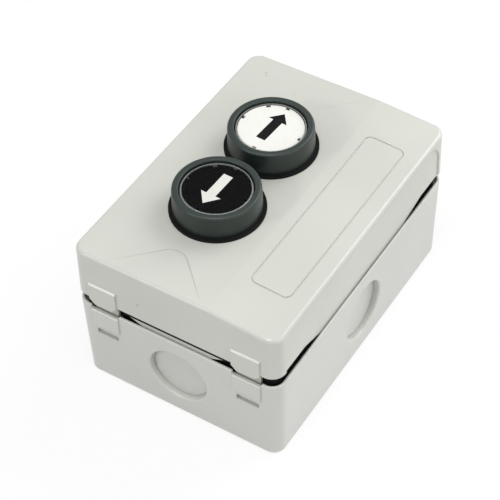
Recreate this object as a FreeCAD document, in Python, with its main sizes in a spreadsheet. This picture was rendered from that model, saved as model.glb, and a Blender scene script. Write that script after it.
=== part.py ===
import FreeCAD, Part
import math
import os
import re

import Sketcher

# Surface-mounted control station with an up and a down push button.
# It lies on its back: z = 0 is the wall face, +Z comes out through the buttons,
# +Y is the end that the up arrow points at, and +X is the side with the label field.
# All lengths are in millimetres and all angles in degrees.

SIZES = (
    # Moulded box
    ("body_width", 80.0),
    ("body_length", 116.0),
    ("corner_radius", 5.2),
    ("draft_angle", 1.15),
    ("wall", 3.2),
    ("base_height", 36.2),
    ("floor_thickness", 3.0),
    ("foot_edge_radius", 0.8),
    ("rim_edge_radius", 0.5),
    ("rim_gap", 4.5),
    ("lid_height", 20.0),
    ("lid_roof", 3.2),
    ("top_edge_radius", 1.3),
    # Rim, skirts and seal
    ("lip_width", 0.9),
    ("rim_step", 2.7),
    ("slide_gap", 0.3),
    ("skirt_thickness", 0.7),
    ("skirt_reach", 5.7),
    ("skirt_ramp", 15.0),
    ("skirt_bevel", 4.2),
    ("side_skirt_half", 27.0),
    ("end_skirt_half", 11.5),
    ("seal_thickness", 1.0),
    # Snap clips, two at each end
    ("clip_spacing", 56.0),
    ("clip_width", 10.8),
    ("lid_pad_drop", 2.3),
    ("lid_pad_rise", 7.1),
    ("lid_pad_proud", 0.6),
    ("lid_pad_bevel", 0.6),
    ("lid_pad_corner", 2.0),
    ("base_pad_drop", 1.2),
    ("base_pad_height", 7.4),
    ("base_pad_proud", 0.5),
    ("base_pad_bevel", 0.3),
    ("hook_width", 9.3),
    ("hook_thickness", 1.2),
    ("hook_reach", 16.9),
    ("pocket_wall", 1.2),
    ("pocket_floor", 1.6),
    ("housing_wall", 1.9),
    ("slot_width", 8.6),
    ("slot_height", 2.4),
    # Lid top
    ("slope_start", 13.5),
    ("slope_angle", 4.3),
    ("label_centre", 25.6),
    ("label_width", 15.2),
    ("label_length", 79.2),
    ("label_corner", 2.6),
    ("groove_width", 0.5),
    ("groove_depth", 0.35),
    ("fan_reach", 20.2),
    ("fan_radius", 6.5),
    ("fan_margin", 2.2),
    ("fan_tilt", 1.5),
    ("flank_half_length", 52.5),
    ("flank_height", 16.8),
    ("flank_corner", 9.0),
    ("flank_depth", 0.45),
    # Cable knockouts and wall screws
    ("knockout_radius", 11.3),
    ("knockout_level", 18.8),
    ("knockout_depth", 2.45),
    ("knockout_groove", 0.6),
    ("knockout_web", 0.45),
    ("knockout_edge", 0.7),
    ("screw_spacing_x", 56.0),
    ("screw_spacing_y", 92.0),
    ("screw_hole_radius", 2.25),
    ("screw_boss_radius", 4.8),
    ("screw_boss_height", 4.0),
    # Push button heads
    ("button_x", -7.85),
    ("button_pitch", 34.6),
    ("panel_hole_radius", 11.25),
    ("washer_radius", 16.6),
    ("washer_thickness", 0.9),
    ("bezel_foot_radius", 15.35),
    ("bezel_top_radius", 15.1),
    ("bezel_height", 8.9),
    ("bezel_crown", 0.9),
    ("bezel_bore_radius", 12.7),
    ("bezel_floor", 0.9),
    ("barrel_radius", 11.0),
    ("barrel_bore_radius", 9.4),
    ("barrel_length", 16.6),
    ("ledge_level", 10.1),
    ("ledge_thickness", 1.7),
    ("ledge_hole_radius", 6.0),
    ("nut_radius", 14.4),
    ("nut_height", 6.0),
    ("nut_notch_radius", 1.6),
    ("thread_gap", 0.05),
    ("travel", 4.3),
    ("lens_radius", 12.25),
    ("lens_top", 0.5),
    ("lens_skirt", 0.65),
    ("lens_edge", 0.3),
    ("lug_width", 1.4),
    ("lug_length", 0.9),
    ("legend_thickness", 0.8),
    ("cap_plate", 1.3),
    ("stem_radius", 5.7),
    ("flange_radius", 7.0),
    ("flange_thickness", 1.8),
    ("spring_radius", 7.6),
    ("spring_wire", 0.5),
    ("spring_turns", 5),
    # Contact carrier and contact block
    ("carrier_width", 30.0),
    ("carrier_depth", 24.0),
    ("carrier_plate", 2.0),
    ("carrier_collar", 13.0),
    ("carrier_grip", 5.5),
    ("carrier_hole", 7.4),
    ("block_length", 32.0),
    ("block_depth", 11.4),
    ("block_height", 22.0),
    ("block_wall", 2.0),
    ("block_cover", 1.6),
    ("chamber_length", 16.0),
    ("bay_length", 7.0),
    ("bay_width", 8.0),
    ("stem_side", 5.0),
    ("stem_side_gap", 0.3),
    ("stem_foot", 9.0),
    ("bridge_level", 5.0),
    ("bridge_length", 15.0),
    ("bridge_width", 4.0),
    ("bridge_thickness", 0.8),
    ("tip_radius", 1.4),
    ("tip_height", 0.8),
    ("tip_spacing", 12.0),
    ("strip_thickness", 0.8),
    ("strip_width", 6.0),
    ("strip_inner", 4.4),
    ("terminal_x", 12.3),
    ("clamp_side", 6.2),
    ("clamp_thickness", 1.0),
    ("wire_gap", 1.2),
    ("screw_head_radius", 3.1),
    ("screw_head_height", 2.2),
    ("screw_shank_radius", 1.7),
    ("screw_shank_length", 7.5),
    ("contact_spring_radius", 2.4),
    ("contact_spring_wire", 0.3),
    ("contact_spring_turns", 5),
)

# Heights and offsets that follow from the sizes above
LID_EDGE = "(base_height + rim_gap)"
PANEL_TOP = "(base_height + rim_gap + lid_height)"
STEP_FLOOR = "(base_height - rim_step)"
SEAL_OFFSET = "(lip_width + slide_gap * 2 + skirt_thickness)"
SKIRT_OFFSET = "(lip_width + slide_gap)"
BEZEL_FOOT = "(base_height + rim_gap + lid_height + washer_thickness)"
BEZEL_TOP = "(base_height + rim_gap + lid_height + washer_thickness + bezel_height)"
WELL_FLOOR = "(base_height + rim_gap + lid_height + washer_thickness + bezel_floor)"
BARREL_END = "(base_height + rim_gap + lid_height + washer_thickness - barrel_length)"
LEDGE_TOP = "(base_height + rim_gap + lid_height + washer_thickness - ledge_level)"
CAP_FOOT = "(base_height + rim_gap + lid_height + washer_thickness + bezel_floor + travel + slide_gap)"
STEM_END = (
    "(base_height + rim_gap + lid_height + washer_thickness - ledge_level"
    " - ledge_thickness - slide_gap - flange_thickness)"
)
BLOCK_TOP = (
    "(base_height + rim_gap + lid_height + washer_thickness - barrel_length - carrier_plate)"
)
BLOCK_FOOT = (
    "(base_height + rim_gap + lid_height + washer_thickness - barrel_length"
    " - carrier_plate - block_height)"
)
BRIDGE_FOOT = BLOCK_TOP[:-1] + " - bridge_level)"
STRIP_TOP = BRIDGE_FOOT[:-1] + " - tip_height * 2 - travel - slide_gap)"
STRIP_FOOT = STRIP_TOP[:-1] + " - strip_thickness)"
CLAMP_FOOT = STRIP_FOOT[:-1] + " - wire_gap - clamp_thickness)"
STEM_FOOT = BLOCK_TOP[:-1] + " - stem_foot)"

# Directions of the lugs that hold the lens, seen from above
LUG_ANGLES = (0, 90, 126, 180, 270)

SIGNS = (-1, 1)

doc = FreeCAD.newDocument("PushButtonStation")
sheet = doc.addObject("Spreadsheet::Sheet", "dims")
for row, (name, value) in enumerate(SIZES, start=1):
    sheet.set("A%d" % row, name)
    sheet.set("B%d" % row, str(value))
    sheet.setAlias("B%d" % row, name)
doc.recompute()
NAMES = {name for name, value in SIZES}


def bound(text):
    """The expression with every size's name pointing at its cell."""
    return re.sub(
        r"[a-z][a-z_]*",
        lambda word: "dims." + word[0] if word[0] in NAMES else word[0],
        str(text),
    )


def amount(text):
    """The number that an expression gives now."""
    return float(sheet.evalExpression(bound(text)))


def new_body(label):
    body = doc.addObject("PartDesign::Body", label)
    body.Label = label
    return body


def sketch_on(body, plane, name, x="0", y="0", z="0"):
    """A sketch on one of the body's own planes, moved along that plane's axes.
    The normals are +Z for XY, -Y for XZ and +X for YZ."""
    sketch = body.newObject("Sketcher::SketchObject", body.Name + "_" + name)
    support = next(item for item in body.Origin.OriginFeatures if item.Role == plane + "_Plane")
    sketch.AttachmentSupport = [(support, "")]
    sketch.MapMode = "FlatFace"
    sketch.setExpression("AttachmentOffset.Base.x", bound(x))
    sketch.setExpression("AttachmentOffset.Base.y", bound(y))
    sketch.setExpression("AttachmentOffset.Base.z", bound(z))
    return sketch


def tilt(sketch, axis, angle):
    """Turn a sketch about its own first or second axis by a bound angle."""
    offset = sketch.AttachmentOffset
    offset.Rotation = FreeCAD.Rotation(FreeCAD.Vector(*axis), 1)
    sketch.AttachmentOffset = offset
    sketch.setExpression("AttachmentOffset.Rotation.Angle", bound(angle))


def bind_point(sketch, geometry, end, x, y):
    """Hold one end of a line or arc at a bound place in the sketch."""
    for kind, text in (("DistanceX", x), ("DistanceY", y)):
        index = sketch.addConstraint(
            Sketcher.Constraint(kind, -1, 1, geometry, end, amount(text))
        )
        sketch.setExpression("Constraints[%d]" % index, bound(text))


def outline(sketch, points):
    """Closed outline through points (x, y). A third entry is the radius of an arc,
    turning left, that replaces the straight side from that point to the next."""
    count = len(points)
    places = [FreeCAD.Vector(amount(point[0]), amount(point[1]), 0) for point in points]
    sides = []
    for number, point in enumerate(points):
        start, end = places[number], places[(number + 1) % count]
        if len(point) == 2:
            side = sketch.addGeometry(Part.LineSegment(start, end), False)
        else:
            radius = amount(point[2])
            chord = end - start
            rise = math.sqrt(max(radius**2 - chord.Length**2 / 4, 0))
            normal = FreeCAD.Vector(-chord.y, chord.x, 0) / chord.Length
            centre = (start + end) / 2 + normal * rise
            angles = [math.atan2(p.y - centre.y, p.x - centre.x) for p in (start, end)]
            circle = Part.Circle(centre, FreeCAD.Vector(0, 0, 1), radius)
            side = sketch.addGeometry(Part.ArcOfCircle(circle, *angles), False)
            index = sketch.addConstraint(Sketcher.Constraint("Radius", side, radius))
            sketch.setExpression("Constraints[%d]" % index, bound(point[2]))
        sides.append(side)
    for number, side in enumerate(sides):
        following = sides[(number + 1) % count]
        sketch.addConstraint(Sketcher.Constraint("Coincident", side, 2, following, 1))
        bind_point(sketch, side, 1, points[number][0], points[number][1])


def rounded_rectangle(sketch, half_x, half_y, radius, centre_x="0"):
    """Rectangle with four round corners."""
    right = "%s + (%s)" % (centre_x, half_x)
    left = "%s - (%s)" % (centre_x, half_x)
    top, bottom = "(%s)" % half_y, "-(%s)" % half_y
    outline(
        sketch,
        (
            (left + " + " + radius, bottom),
            (right + " - " + radius, bottom, radius),
            (right, bottom + " + " + radius),
            (right, top + " - " + radius, radius),
            (right + " - " + radius, top),
            (left + " + " + radius, top, radius),
            (left, top + " - " + radius),
            (left, bottom + " + " + radius, radius),
        ),
    )


def rectangle(sketch, left, bottom, right, top):
    outline(sketch, ((left, bottom), (right, bottom), (right, top), (left, top)))


def circle(sketch, x, y, radius):
    index = sketch.addGeometry(
        Part.Circle(FreeCAD.Vector(amount(x), amount(y), 0), FreeCAD.Vector(0, 0, 1), amount(radius)),
        False,
    )
    bind_point(sketch, index, 3, x, y)
    number = sketch.addConstraint(Sketcher.Constraint("Radius", index, amount(radius)))
    sketch.setExpression("Constraints[%d]" % number, bound(radius))


def clip_rectangles(sketch, width, near, far):
    """One rectangle at each of the four clips, between two distances inward from
    the end faces of the box. A distance below zero lies outside."""
    for side in SIGNS:
        centre = "%d * clip_spacing / 2" % side
        left = centre + " - (%s) / 2" % width
        right = centre + " + (%s) / 2" % width
        rectangle(
            sketch, left, "-body_length / 2 + (%s)" % near, right, "-body_length / 2 + (%s)" % far
        )
        rectangle(
            sketch, left, "body_length / 2 - (%s)" % far, right, "body_length / 2 - (%s)" % near
        )


def feature(body, kind, sketch, **bindings):
    """Pad, Pocket, Revolution or Groove of a sketch, with its sizes bound."""
    made = body.newObject("PartDesign::" + kind, sketch.Name + "_" + kind.lower())
    made.Profile = sketch
    for name, text in bindings.items():
        made.setExpression(name, bound(text))
    return made


def pad(body, sketch, length, reverse=False, both=False, taper=None):
    made = feature(body, "Pad", sketch, Length=length)
    made.Reversed = reverse
    made.Midplane = both
    if taper:
        made.setExpression("TaperAngle", bound(taper))
    return made


def pocket(body, sketch, length, reverse=False, both=False, taper=None):
    """Cut that has to take material away; it runs against the sketch's normal."""
    doc.recompute()
    before = body.Shape.Volume
    made = feature(body, "Pocket", sketch, Length=length)
    made.Reversed = reverse
    made.Midplane = both
    if taper:
        made.setExpression("TaperAngle", bound(taper))
    doc.recompute()
    if body.Shape.Volume > before - 1e-6:
        raise RuntimeError(made.Name + " cuts nothing")
    return made


def revolve(body, points, name="profile", kind="Revolution"):
    """Turn a profile of (radius, height) points about the body's Z axis."""
    sketch = sketch_on(body, "XZ", name)
    outline(sketch, points)
    made = body.newObject("PartDesign::" + kind, sketch.Name + "_turned")
    made.Profile = sketch
    made.ReferenceAxis = (sketch, ["V_Axis"])
    made.Angle = 360
    return made


def dress(body, kind, size, wanted):
    """Fillet or Chamfer the edges of the body for which wanted(edge) is true."""
    doc.recompute()
    base = body.Tip
    names = ["Edge%d" % n for n, edge in enumerate(base.Shape.Edges, start=1) if wanted(edge)]
    if not names:
        raise RuntimeError("no edge to dress on " + body.Label)
    made = body.newObject("PartDesign::" + kind, body.Name + "_" + kind.lower())
    made.Base = (base, names)
    made.setExpression("Radius" if kind == "Fillet" else "Size", bound(size))
    doc.recompute()
    return made


def near(value, text, margin=0.02):
    return abs(value - amount(text)) < margin


def level_edge(edge, height):
    """True if the whole edge lies at one height."""
    return all(near(vertex.Z, height) for vertex in edge.Vertexes) and near(
        edge.BoundBox.ZMin, height
    )


def make_base_housing():
    """Deep moulded box with knockouts, clip pads, a stepped rim and wall-screw bosses."""
    body = new_body("base_housing")
    sketch = sketch_on(body, "XY", "plan", z="base_height")
    rounded_rectangle(sketch, "body_width / 2", "body_length / 2", "corner_radius")
    pad(body, sketch, "base_height", reverse=True, taper="-draft_angle")
    dress(body, "Fillet", "foot_edge_radius", lambda edge: level_edge(edge, "0"))
    dress(body, "Fillet", "rim_edge_radius", lambda edge: level_edge(edge, "base_height"))

    pad_foot = "base_height - base_pad_drop - base_pad_height"
    sketch = sketch_on(body, "XY", "clip_pads", z=pad_foot)
    clip_rectangles(sketch, "clip_width", "-base_pad_proud", "lip_width")
    pad(body, sketch, "base_pad_height")

    sketch = sketch_on(body, "XY", "cavity", z="base_height")
    inner_x, inner_y = "body_width / 2 - wall", "body_length / 2 - wall"
    rounded_rectangle(sketch, inner_x, inner_y, "(corner_radius - wall)")
    pocket(body, sketch, "base_height - floor_thickness", taper="-draft_angle")

    # Step inside the outer lip: an open groove for the skirts, then the seat of the seal
    sketch = sketch_on(body, "XY", "rim_step", z="base_height")
    step_x, step_y = "body_width / 2 - lip_width", "body_length / 2 - lip_width"
    rounded_rectangle(sketch, step_x, step_y, "(corner_radius - lip_width)")
    pocket(body, sketch, "rim_step")

    # Housings inside the end walls for the hooks of the lid
    hook_foot = "(%s - hook_reach)" % LID_EDGE
    housing_far = "pocket_wall + hook_thickness + slide_gap * 2 + housing_wall"
    housing_width = "hook_width + slide_gap * 2 + housing_wall * 2 + seal_thickness"
    sketch = sketch_on(body, "XY", "hook_housings", z=hook_foot + " - pocket_floor - housing_wall")
    clip_rectangles(sketch, housing_width, "wall / 2", housing_far)
    pad(body, sketch, "%s - %s + pocket_floor + housing_wall" % (STEP_FLOOR, hook_foot))

    sketch = sketch_on(body, "XY", "hook_pockets", z="base_height")
    pocket_far = "pocket_wall + hook_thickness + slide_gap * 2"
    clip_rectangles(sketch, "hook_width + slide_gap * 2", "pocket_wall", pocket_far)
    pocket(body, sketch, "base_height - %s + slide_gap * 2" % hook_foot)

    sketch = sketch_on(body, "XY", "rim_notches", z="base_height")
    notch_near = "-base_pad_proud - lid_pad_proud"
    clip_rectangles(sketch, "clip_width + slide_gap * 2", notch_near, pocket_far)
    pocket(body, sketch, "base_pad_drop")

    sketch = sketch_on(body, "XY", "release_slots", z=pad_foot + " - slot_height")
    clip_rectangles(sketch, "slot_width", notch_near, "pocket_wall + slide_gap")
    pocket(body, sketch, "slot_height")

    pad_face = "body_length / 2 + base_pad_proud"
    dress(
        body,
        "Chamfer",
        "base_pad_bevel",
        lambda edge: level_edge(edge, "base_height - base_pad_drop")
        and near(abs(edge.BoundBox.YMin), pad_face)
        and near(abs(edge.BoundBox.YMax), pad_face),
    )

    # Knockout on each wall: a round recess with a thin groove at its foot
    sides = (
        ("XZ", "body_length / 2", False, "end"),
        ("XZ", "-body_length / 2", True, "far_end"),
        ("YZ", "body_width / 2", False, "right"),
        ("YZ", "-body_width / 2", True, "left"),
    )
    inset = "(base_height - knockout_level) * tan(draft_angle)"
    for plane, place, reverse, name in sides:
        sketch = sketch_on(body, plane, name + "_knockout", z=place)
        circle(sketch, "0", "knockout_level", "knockout_radius")
        pocket(body, sketch, "knockout_depth + " + inset, reverse=reverse)
        sketch = sketch_on(body, plane, name + "_groove", z=place)
        circle(sketch, "0", "knockout_level", "knockout_radius")
        circle(sketch, "0", "knockout_level", "knockout_radius - knockout_groove")
        pocket(body, sketch, "wall - knockout_web + " + inset, reverse=reverse)
    dress(
        body,
        "Fillet",
        "knockout_edge",
        lambda edge: near(edge.BoundBox.ZLength, "knockout_radius * 2", 0.1)
        and (
            abs(edge.BoundBox.Center.x) > amount("body_width / 2 - knockout_depth / 2")
            or abs(edge.BoundBox.Center.y) > amount("body_length / 2 - knockout_depth / 2")
        ),
    )

    corners = [(x, y) for x in SIGNS for y in SIGNS]
    for name, radius in (("screw_bosses", "screw_boss_radius"), ("screw_holes", "screw_hole_radius")):
        sketch = sketch_on(body, "XY", name)
        for x, y in corners:
            circle(sketch, "%d * screw_spacing_x / 2" % x, "%d * screw_spacing_y / 2" % y, radius)
        depth = "floor_thickness + screw_boss_height"
        if name == "screw_bosses":
            pad(body, sketch, depth)
        else:
            pocket(body, sketch, depth, reverse=True)
    return body


def make_lid_cover():
    """Shallow lid with a sloped label side, skirts, snap hooks and two panel holes."""
    body = new_body("lid_cover")
    sketch = sketch_on(body, "XY", "plan", z=LID_EDGE)
    rounded_rectangle(sketch, "body_width / 2", "body_length / 2", "corner_radius")
    pad(body, sketch, "lid_height", taper="-draft_angle")

    # The label side slopes down to the edge
    overhang = "body_width / 2 + wall"
    drop = "(body_width / 2 + wall - slope_start) * tan(slope_angle)"
    sketch = sketch_on(body, "XZ", "slope")
    outline(
        sketch,
        (
            ("slope_start", PANEL_TOP),
            (overhang, "%s - %s" % (PANEL_TOP, drop)),
            (overhang, PANEL_TOP + " + lid_roof"),
            ("slope_start", PANEL_TOP + " + lid_roof"),
        ),
    )
    pocket(body, sketch, "body_length * 1.2", both=True)
    crease = "slope_start"
    dress(
        body,
        "Fillet",
        "top_edge_radius",
        lambda edge: edge.BoundBox.ZMin > amount(PANEL_TOP + " - lid_height / 2")
        and not (near(edge.BoundBox.XMin, crease) and near(edge.BoundBox.XMax, crease)),
    )

    # Cavity with a roof of even thickness
    roof = PANEL_TOP + " - lid_roof"
    inner_foot = "body_width / 2 - wall"
    inner_top = "body_width / 2 - wall - (lid_height - lid_roof) * tan(draft_angle)"
    inner_drop = "(%s - slope_start) * tan(slope_angle)" % inner_top
    sketch = sketch_on(body, "XZ", "cavity")
    outline(
        sketch,
        (
            ("-(%s)" % inner_foot, LID_EDGE),
            (inner_foot, LID_EDGE),
            (inner_top, "%s - %s" % (roof, inner_drop)),
            ("slope_start", roof),
            ("-(%s)" % inner_top, roof),
        ),
    )
    pocket(body, sketch, "body_length - wall * 2", both=True)
    inner_y = "body_length / 2 - wall"
    dress(
        body,
        "Fillet",
        "(corner_radius - wall)",
        lambda edge: near(abs(edge.BoundBox.YMin), inner_y)
        and near(edge.BoundBox.YMin, str(edge.BoundBox.YMax))
        and edge.BoundBox.ZLength > amount("lid_height / 2"),
    )

    # Shallow flat panel on each long flank, set back from the corners
    for place, side, reverse in (("body_width / 2", 1, False), ("-body_width / 2", -1, True)):
        name = "right_flank" if side > 0 else "left_flank"
        sketch = sketch_on(body, "YZ", name, y=LID_EDGE, z=place)
        tilt(sketch, (1, 0, 0), "%d * draft_angle" % -side)
        half, top = "flank_half_length", "flank_height"
        outline(
            sketch,
            (
                ("-" + half, "-flank_depth"),
                (half, "-flank_depth"),
                (half, top + " - flank_corner", "flank_corner"),
                (half + " - flank_corner", top),
                ("-%s + flank_corner" % half, top, "flank_corner"),
                ("-" + half, top + " - flank_corner"),
            ),
        )
        pocket(body, sketch, "flank_depth", reverse=reverse)

    # Skirts that reach down into the groove of the base, one on each side
    reach = LID_EDGE + " - skirt_reach"
    root = LID_EDGE + " + lip_width"
    for side in SIGNS:
        name = "right" if side > 0 else "left"
        place = "%d * (body_width / 2 - flank_depth)" % side
        sketch = sketch_on(body, "YZ", name + "_skirt", z=place)
        long_half = "side_skirt_half + skirt_ramp"
        outline(
            sketch,
            (
                ("-side_skirt_half", reach),
                ("side_skirt_half", reach),
                (long_half, root),
                ("-(%s)" % long_half, root),
            ),
        )
        depth = SKIRT_OFFSET + " + skirt_thickness - flank_depth"
        pad(body, sketch, depth, reverse=side > 0)
        sketch = sketch_on(body, "XZ", name + "_skirt_bevel")
        face = "%d * (body_width / 2 - flank_depth)" % side
        back = "%d * (body_width / 2 - %s)" % (side, SKIRT_OFFSET)
        beyond = "%d * (body_width / 2 + flank_depth)" % side
        bevel_foot = LID_EDGE + " - skirt_bevel"
        below = reach + " - flank_depth"
        points = [
            (face, LID_EDGE),
            (back, bevel_foot),
            (back, below),
            (beyond, below),
            (beyond, LID_EDGE),
        ]
        outline(sketch, points if side > 0 else points[::-1])
        pocket(body, sketch, "(%s) * 2 + flank_depth" % long_half, both=True)

        name = "far" if side > 0 else "near"
        place = "%d * (body_length / 2 - %s)" % (-side, SKIRT_OFFSET)
        sketch = sketch_on(body, "XZ", name + "_skirt", z=place)
        short_half = "end_skirt_half + skirt_ramp"
        outline(
            sketch,
            (
                ("-end_skirt_half", reach),
                ("end_skirt_half", reach),
                (short_half, root),
                ("-(%s)" % short_half, root),
            ),
        )
        pad(body, sketch, "skirt_thickness", reverse=side < 0)

    # Clip pads with cut lower corners and the hooks behind them, and ribs that bear on the seal
    hook_near, hook_far = "pocket_wall + slide_gap", "pocket_wall + slide_gap + hook_thickness"
    pad_face = "body_length / 2 + lid_pad_proud"
    pad_foot, pad_top = LID_EDGE + " - lid_pad_drop", LID_EDGE + " + lid_pad_rise"
    for side in SIGNS:
        name = "far" if side > 0 else "near"
        sketch = sketch_on(body, "XZ", name + "_clip_pads", z="%d * (%s)" % (-side, pad_face))
        for half in SIGNS:
            left = "(%d * clip_spacing / 2 - clip_width / 2)" % half
            right = "(%d * clip_spacing / 2 + clip_width / 2)" % half
            outline(
                sketch,
                (
                    (left, pad_foot + " + lid_pad_corner"),
                    (left + " + lid_pad_corner", pad_foot),
                    (right + " - lid_pad_corner", pad_foot),
                    (right, pad_foot + " + lid_pad_corner"),
                    (right, pad_top),
                    (left, pad_top),
                ),
            )
        pad(body, sketch, "lid_pad_proud + " + hook_far, reverse=side < 0)
    dress(
        body,
        "Chamfer",
        "lid_pad_bevel",
        lambda edge: level_edge(edge, LID_EDGE + " + lid_pad_rise")
        and near(abs(edge.BoundBox.YMin), pad_face)
        and near(abs(edge.BoundBox.YMax), pad_face),
    )
    sketch = sketch_on(body, "XY", "hooks", z=LID_EDGE + " - hook_reach")
    clip_rectangles(sketch, "hook_width", hook_near, hook_far)
    pad(body, sketch, "hook_reach")
    sketch = sketch_on(body, "XY", "seal_ribs", z=LID_EDGE)
    rib_far = "pocket_wall + hook_thickness + slide_gap * 3 + seal_thickness"
    rib_width = "clip_width + slide_gap * 2 + seal_thickness * 2"
    clip_rectangles(sketch, rib_width, "wall / 2", rib_far)
    pad(body, sketch, "lid_pad_rise")

    # Label field: a fine groove round a rounded rectangle, parallel to the slope
    sketch = sketch_on(body, "XY", "label_groove", x="slope_start", z=PANEL_TOP)
    tilt(sketch, (0, 1, 0), "slope_angle")
    centre = "(label_centre - slope_start) / cos(slope_angle)"
    rounded_rectangle(sketch, "label_width / 2", "label_length / 2", "label_corner", centre)
    inner = ("label_width / 2 - groove_width", "label_length / 2 - groove_width")
    rounded_rectangle(sketch, *inner, "(label_corner - groove_width)", centre)
    pocket(body, sketch, "groove_depth")

    # Fan-shaped recess at each end, deepest beside the button
    for side in SIGNS:
        name = "far_fan" if side > 0 else "near_fan"
        edge = "%d * (body_length / 2 - fan_margin)" % side
        sketch = sketch_on(body, "XY", name, x="button_x", y=edge, z=PANEL_TOP)
        tilt(sketch, (1, 0, 0), "%d * fan_tilt" % side)
        start, apex = "fan_margin / 4", "fan_reach - fan_margin"
        touch = "fan_radius / sqrt(2)"
        base_half = "fan_reach - fan_margin + fan_margin / 4"
        points = [
            ("-(%s)" % base_half, "%d * %s" % (side, start)),
            ("-" + touch, "%d * (%s - %s)" % (-side, apex, touch)),
            (touch, "%d * (%s - %s)" % (-side, apex, touch)),
            (base_half, "%d * %s" % (side, start)),
        ]
        # The apex is an arc that turns left on the way round
        if side > 0:
            points[1] = points[1] + ("fan_radius",)
            outline(sketch, points)
        else:
            points.reverse()
            points[1] = points[1] + ("fan_radius",)
            outline(sketch, points)
        pocket(body, sketch, "lid_roof", reverse=True)

    sketch = sketch_on(body, "XY", "panel_holes", z=PANEL_TOP)
    for side in SIGNS:
        circle(sketch, "button_x", "%d * button_pitch / 2" % side, "panel_hole_radius")
    pocket(body, sketch, "lid_roof * 1.5")
    return body


def make_lid_gasket():
    """Rubber seal that stands on the rim step and passes inside the four clips."""
    body = new_body("lid_gasket")
    sketch = sketch_on(body, "XY", "ring", z=STEP_FLOOR)
    for offset in (SEAL_OFFSET, SEAL_OFFSET + " + seal_thickness"):
        rounded_rectangle(
            sketch,
            "body_width / 2 - (%s)" % offset,
            "body_length / 2 - (%s)" % offset,
            "(corner_radius - (%s))" % offset,
        )
    height = "%s - %s - slide_gap" % (LID_EDGE, STEP_FLOOR)
    pad(body, sketch, height)
    bypass_near = "pocket_wall + hook_thickness + slide_gap * 3"
    bypass_width = "clip_width + slide_gap * 2"
    sketch = sketch_on(body, "XY", "bypass", z=STEP_FLOOR)
    clip_rectangles(
        sketch, bypass_width + " + seal_thickness * 2", SEAL_OFFSET, bypass_near + " + seal_thickness"
    )
    pad(body, sketch, height)
    sketch = sketch_on(body, "XY", "clip_space", z=STEP_FLOOR)
    clip_rectangles(sketch, bypass_width, "0", bypass_near)
    pocket(body, sketch, height, reverse=True)
    return body


def at_button(item, side):
    """Stand an object on the axis of one push button."""
    item.setExpression("Placement.Base.x", bound("button_x"))
    item.setExpression("Placement.Base.y", bound("%d * button_pitch / 2" % side))
    return item


def make_bezel(label):
    """Dark front ring and its threaded barrel, one moulding, with a ledge for the spring."""
    body = new_body(label)
    neck = "(barrel_radius - thread_gap)"
    crown = "bezel_crown"
    revolve(
        body,
        (
            ("barrel_bore_radius", BARREL_END),
            (neck, BARREL_END),
            (neck, BEZEL_FOOT),
            ("bezel_foot_radius", BEZEL_FOOT),
            ("bezel_top_radius", BEZEL_TOP + " - " + crown, crown),
            ("bezel_top_radius - " + crown, BEZEL_TOP),
            ("bezel_bore_radius + lens_edge", BEZEL_TOP),
            ("bezel_bore_radius", BEZEL_TOP + " - lens_edge"),
            ("bezel_bore_radius", WELL_FLOOR),
            ("barrel_bore_radius", WELL_FLOOR),
            ("barrel_bore_radius", LEDGE_TOP),
            ("ledge_hole_radius", LEDGE_TOP),
            ("ledge_hole_radius", LEDGE_TOP + " - ledge_thickness"),
            ("barrel_bore_radius", LEDGE_TOP + " - ledge_thickness"),
        ),
    )
    return body


def make_bezel_seal(label):
    """Flat rubber washer under the front ring."""
    body = new_body(label)
    revolve(
        body,
        (
            ("barrel_radius", PANEL_TOP),
            ("washer_radius", PANEL_TOP),
            ("washer_radius", BEZEL_FOOT),
            ("barrel_radius", BEZEL_FOOT),
        ),
    )
    return body


def make_fixing_nut(label):
    """Ring nut under the panel with notches for a spanner."""
    body = new_body(label)
    top = PANEL_TOP + " - lid_roof"
    revolve(
        body,
        (
            ("barrel_radius", top + " - nut_height"),
            ("nut_radius - bezel_crown", top + " - nut_height"),
            ("nut_radius", top + " - nut_height + bezel_crown"),
            ("nut_radius", top),
            ("barrel_radius", top),
        ),
    )
    sketch = sketch_on(body, "XY", "notch", z=top)
    circle(sketch, "nut_radius", "0", "nut_notch_radius")
    notch = pocket(body, sketch, "nut_height")
    pattern = body.newObject("PartDesign::PolarPattern", body.Name + "_notches")
    pattern.Originals = [notch]
    axis = next(item for item in body.Origin.OriginFeatures if item.Role == "Z_Axis")
    pattern.Axis = (axis, [""])
    pattern.Angle = 360
    pattern.Occurrences = 8
    body.Tip = pattern
    return body


def make_button_cap(label):
    """Plunger: a round plate on a stem that ends in a retaining flange."""
    body = new_body(label)
    plate_radius = "(lens_radius - lens_skirt - thread_gap)"
    revolve(
        body,
        (
            ("0", STEM_END),
            ("flange_radius", STEM_END),
            ("flange_radius", STEM_END + " + flange_thickness"),
            ("stem_radius", STEM_END + " + flange_thickness"),
            ("stem_radius", CAP_FOOT),
            (plate_radius, CAP_FOOT),
            (plate_radius, CAP_FOOT + " + cap_plate"),
            ("0", CAP_FOOT + " + cap_plate"),
        ),
    )
    return body


def lug_blocks(body, name, inner, width, height, thickness, cut):
    """Small radial blocks at the lens lugs, added to the body or cut from it."""
    for number, angle in enumerate(LUG_ANGLES):
        sketch = sketch_on(body, "XY", "%s_%d" % (name, number), z=height)
        tilt(sketch, (0, 0, 1), str(angle))
        reach = "lens_radius - lens_skirt / 2"
        rectangle(sketch, inner, "-(%s) / 2" % width, reach, "(%s) / 2" % width)
        if cut:
            pocket(body, sketch, thickness, reverse=True)
        else:
            pad(body, sketch, thickness)


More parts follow.
